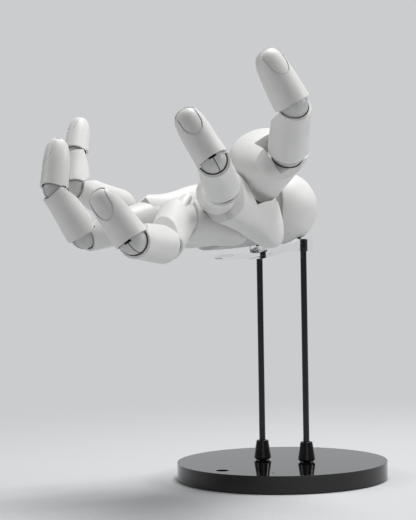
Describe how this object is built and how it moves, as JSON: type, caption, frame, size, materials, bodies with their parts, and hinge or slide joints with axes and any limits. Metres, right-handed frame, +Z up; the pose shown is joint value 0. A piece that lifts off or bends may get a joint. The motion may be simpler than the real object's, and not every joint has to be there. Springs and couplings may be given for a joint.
{
  "type": "posable hand model",
  "caption": "Life-size jointed left hand, palm up, held at the wrist on two rods above a round weighted base.",
  "frame": {"origin": "centre of the base's underside", "axes": "+Z up; the two rods stand in line along X; the fingers point towards -Y, the palm faces up"},
  "size_m": [0.1506, 0.2387, 0.2305],
  "materials": {
    "gloss_black": "polished black",
    "pad": "thin matt pad",
    "steel": "plain ground steel",
    "clear": "clear acrylic",
    "grey_plastic": "fine matt, moulded",
    "white_plastic": "fine matt, moulded"
  },
  "bodies": {
    "stand": {"base_disc": "gloss_black", "base_weight": "steel", "base_pad": "pad", "far_rod": "gloss_black", "near_rod": "gloss_black", "far_rod_socket": "gloss_black", "near_rod_socket": "gloss_black", "clear_cradle": "clear", "wrist_dome": "white_plastic"},
    "wrist_ball": {"wrist_ball": "grey_plastic"},
    "palm": {"palm_core": "grey_plastic", "index_metacarpal": "white_plastic", "middle_metacarpal": "white_plastic"},
    "ring_hand_bone": {"ring_metacarpal": "white_plastic"},
    "little_hand_bone": {"little_metacarpal": "white_plastic"},
    "index_root": {"index_mcp_knuckle": "grey_plastic", "index_mcp_pin": "steel"},
    "index_first": {"index_proximal": "white_plastic", "index_pip_knuckle": "grey_plastic", "index_pip_pin": "steel"},
    "index_second": {"index_middle": "white_plastic", "index_dip_knuckle": "grey_plastic", "index_dip_pin": "steel"},
    "index_tip": {"index_distal": "white_plastic"},
    "middle_root": {"middle_mcp_knuckle": "grey_plastic", "middle_mcp_pin": "steel"},
    "middle_first": {"middle_proximal": "white_plastic", "middle_pip_knuckle": "grey_plastic", "middle_pip_pin": "steel"},
    "middle_second": {"middle_middle": "white_plastic", "middle_dip_knuckle": "grey_plastic", "middle_dip_pin": "steel"},
    "middle_tip": {"middle_distal": "white_plastic"},
    "ring_root": {"ring_mcp_knuckle": "grey_plastic", "ring_mcp_pin": "steel"},
    "ring_first": {"ring_proximal": "white_plastic", "ring_pip_knuckle": "grey_plastic", "ring_pip_pin": "steel"},
    "ring_second": {"ring_middle": "white_plastic", "ring_dip_knuckle": "grey_plastic", "ring_dip_pin": "steel"},
    "ring_tip": {"ring_distal": "white_plastic"},
    "little_root": {"little_mcp_knuckle": "grey_plastic", "little_mcp_pin": "steel"},
    "little_first": {"little_proximal": "white_plastic", "little_pip_knuckle": "grey_plastic", "little_pip_pin": "steel"},
    "little_second": {"little_middle": "white_plastic", "little_dip_knuckle": "grey_plastic", "little_dip_pin": "steel"},
    "little_tip": {"little_distal": "white_plastic"},
    "thumb_root": {"thumb_cmc_knuckle": "grey_plastic", "thumb_cmc_pin": "steel"},
    "thumb_hand_bone": {"thumb_metacarpal": "white_plastic", "thumb_mcp_knuckle": "grey_plastic", "thumb_mcp_pin": "steel"},
    "thumb_first": {"thumb_proximal": "white_plastic", "thumb_ip_knuckle": "grey_plastic", "thumb_ip_pin": "steel"},
    "thumb_tip": {"thumb_distal": "white_plastic"}
  },
  "joints": [
    {"name": "wrist_swing", "type": "hinge", "parent": "stand", "child": "wrist_ball", "pos_m": [0.0017, -0.0004, 0.154], "axis": [-0.1704, 0.2385, 0.9561], "range_deg": [-10, 17]},
    {"name": "wrist_bend", "type": "hinge", "parent": "wrist_ball", "child": "palm", "pos_m": [0.0017, -0.0004, 0.154], "axis": [-0.9369, 0.2613, -0.2322], "range_deg": [-1, 29]},
    {"name": "ring_cup", "type": "hinge", "parent": "palm", "child": "ring_hand_bone", "pos_m": [-0.0106, -0.05069, 0.14702], "axis": [-0.9369, 0.2613, -0.2322], "range_deg": [-2, 10]},
    {"name": "little_cup", "type": "hinge", "parent": "palm", "child": "little_hand_bone", "pos_m": [-0.0106, -0.05069, 0.14702], "axis": [-0.9369, 0.2613, -0.2322], "range_deg": [-2, 8]},
    {"name": "index_spread", "type": "hinge", "parent": "palm", "child": "index_root", "pos_m": [0.00081, -0.0895, 0.15683], "axis": [-0.5577, -0.0089, 0.83], "range_deg": [-26, 2]},
    {"name": "index_root_bend", "type": "hinge", "parent": "index_root", "child": "index_first", "pos_m": [0.00081, -0.0895, 0.15683], "axis": [-0.7502, -0.4224, -0.5087], "range_deg": [-16, 62]},
    {"name": "index_middle_bend", "type": "hinge", "parent": "index_first", "child": "index_second", "pos_m": [0.02144, -0.12951, 0.15962], "axis": [-0.7502, -0.4224, -0.5087], "range_deg": [-29, 72]},
    {"name": "index_tip_bend", "type": "hinge", "parent": "index_second", "child": "index_tip", "pos_m": [0.02744, -0.15351, 0.17068], "axis": [-0.7502, -0.4224, -0.5087], "range_deg": [-67, 5]},
    {"name": "middle_spread", "type": "hinge", "parent": "palm", "child": "middle_root", "pos_m": [-0.01851, -0.09263, 0.1477], "axis": [-0.5252, 0.0879, 0.8464], "range_deg": [-20, 6]},
    {"name": "middle_root_bend", "type": "hinge", "parent": "middle_root", "child": "middle_first", "pos_m": [-0.01851, -0.09263, 0.1477], "axis": [-0.8503, -0.0132, -0.5262], "range_deg": [-1, 52]},
    {"name": "middle_middle_bend", "type": "hinge", "parent": "middle_first", "child": "middle_second", "pos_m": [-0.00821, -0.13356, 0.13209], "axis": [-0.8503, -0.0132, -0.5262], "range_deg": [-28, 60]},
    {"name": "middle_tip_bend", "type": "hinge", "parent": "middle_second", "child": "middle_tip", "pos_m": [-0.00897, -0.16519, 0.13412], "axis": [-0.8503, -0.0132, -0.5262], "range_deg": [-70, 2]},
    {"name": "ring_spread", "type": "hinge", "parent": "ring_hand_bone", "child": "ring_root", "pos_m": [-0.03983, -0.07606, 0.14599], "axis": [-0.2178, 0.0138, 0.9759], "range_deg": [-2, 20]},
    {"name": "ring_root_bend", "type": "hinge", "parent": "ring_root", "child": "ring_first", "pos_m": [-0.03983, -0.07606, 0.14599], "axis": [-0.8362, 0.513, -0.1939], "range_deg": [-23, 82]},
    {"name": "ring_middle_bend", "type": "hinge", "parent": "ring_first", "child": "ring_second", "pos_m": [-0.06257, -0.11609, 0.13814], "axis": [-0.8362, 0.513, -0.1939], "range_deg": [-74, 26]},
    {"name": "ring_tip_bend", "type": "hinge", "parent": "ring_second", "child": "ring_tip", "pos_m": [-0.0741, -0.12589, 0.16194], "axis": [-0.8362, 0.513, -0.1939], "range_deg": [-45, 27]},
    {"name": "little_spread", "type": "hinge", "parent": "little_hand_bone", "child": "little_root", "pos_m": [-0.06281, -0.06527, 0.15182], "axis": [-0.3173, 0.0741, 0.9454], "range_deg": [-24, 2]},
    {"name": "little_root_bend", "type": "hinge", "parent": "little_root", "child": "little_first", "pos_m": [-0.06281, -0.06527, 0.15182], "axis": [-0.8915, 0.3166, -0.324], "range_deg": [-36, 56]},
    {"name": "little_middle_bend", "type": "hinge", "parent": "little_first", "child": "little_second", "pos_m": [-0.07851, -0.09595, 0.16502], "axis": [-0.8915, 0.3166, -0.324], "range_deg": [-90, 10]},
    {"name": "little_tip_bend", "type": "hinge", "parent": "little_second", "child": "little_tip", "pos_m": [-0.08231, -0.08804, 0.18321], "axis": [-0.8915, 0.3166, -0.324], "range_deg": [-9, 63]},
    {"name": "thumb_swing", "type": "hinge", "parent": "palm", "child": "thumb_root", "pos_m": [0.00417, -0.0324, 0.16231], "axis": [-0.4468, -0.26, 0.856], "range_deg": [-1, 18]},
    {"name": "thumb_lift", "type": "hinge", "parent": "thumb_root", "child": "thumb_hand_bone", "pos_m": [0.00417, -0.0324, 0.16231], "axis": [-0.4968, -0.7237, -0.4791], "range_deg": [-3, 27]},
    {"name": "thumb_middle_bend", "type": "hinge", "parent": "thumb_hand_bone", "child": "thumb_first", "pos_m": [0.03075, -0.06321, 0.18129], "axis": [-0.4968, -0.7237, -0.4791], "range_deg": [-24, 25]},
    {"name": "thumb_tip_bend", "type": "hinge", "parent": "thumb_first", "child": "thumb_tip", "pos_m": [0.04184, -0.08493, 0.20261], "axis": [-0.4968, -0.7237, -0.4791], "range_deg": [-52, 20]}
  ]
}
